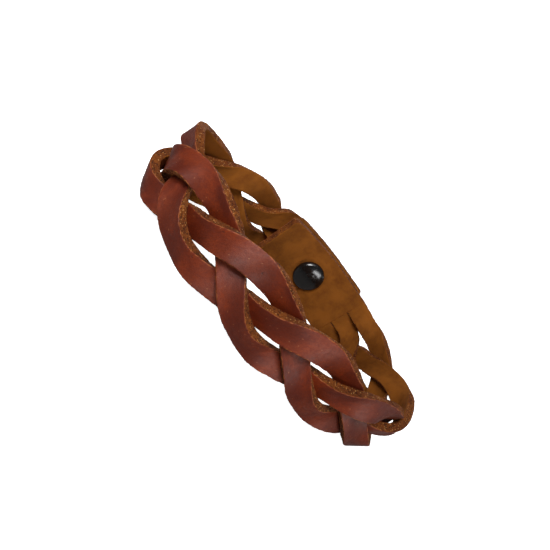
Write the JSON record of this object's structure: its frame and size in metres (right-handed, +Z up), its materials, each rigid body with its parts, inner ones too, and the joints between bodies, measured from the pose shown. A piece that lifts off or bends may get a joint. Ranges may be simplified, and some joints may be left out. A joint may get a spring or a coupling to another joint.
{
  "type": "braided leather wristband",
  "caption": "Flat strap plaited from strands between two plain tabs, bent into an oval band that a domed snap fastener closes.",
  "frame": {"origin": "middle of the band's footprint, on the surface that its lower edge rests on", "axes": "+X along the oval from its left bend to its right bend, +Y out through the snap at the back, +Z up along the wearer's arm"},
  "size_m": [0.0936, 0.0582, 0.0191],
  "materials": {
    "leather": "waxed full-grain, flesh side and cut edges tan",
    "black_metal": "glossy black enamel",
    "spring_wire": "bright wire"
  },
  "bodies": {
    "front": {"strand_1_front": "leather", "strand_2_front": "leather", "strand_3_front": "leather"},
    "back_left": {"strand_1_left": "leather", "strand_2_left": "leather", "strand_3_left": "leather"},
    "flap": {"outer_tab": "leather", "outer_cap": "black_metal", "socket": "black_metal", "socket_spring": "spring_wire"},
    "back_right": {"strand_1_right": "leather", "strand_2_right": "leather", "strand_3_right": "leather", "inner_tab": "leather", "inner_cap": "black_metal", "stud": "black_metal"}
  },
  "joints": [
    {"name": "left_flex", "type": "hinge", "parent": "front", "child": "back_left", "pos_m": [-0.0467, -0.00085, 0.00953], "axis": [0, 0, 1], "range_deg": [0, 75], "stiffness_Nm_per_rad": 0.03},
    {"name": "flap_peel", "type": "hinge", "parent": "back_left", "child": "flap", "pos_m": [-0.00389, 0.02511, 0.00953], "axis": [0, 0, 1], "range_deg": [0, 80], "stiffness_Nm_per_rad": 0.03, "deforming": ["socket_spring"]},
    {"name": "right_flex", "type": "hinge", "parent": "front", "child": "back_right", "pos_m": [0.04523, -0.01419, 0.00953], "axis": [0, 0, 1], "range_deg": [-22.5, 0], "stiffness_Nm_per_rad": 0.03}
  ],
  "couplings": [
    {"joint": "right_flex", "follows": "left_flex", "ratio": -0.3}
  ]
}
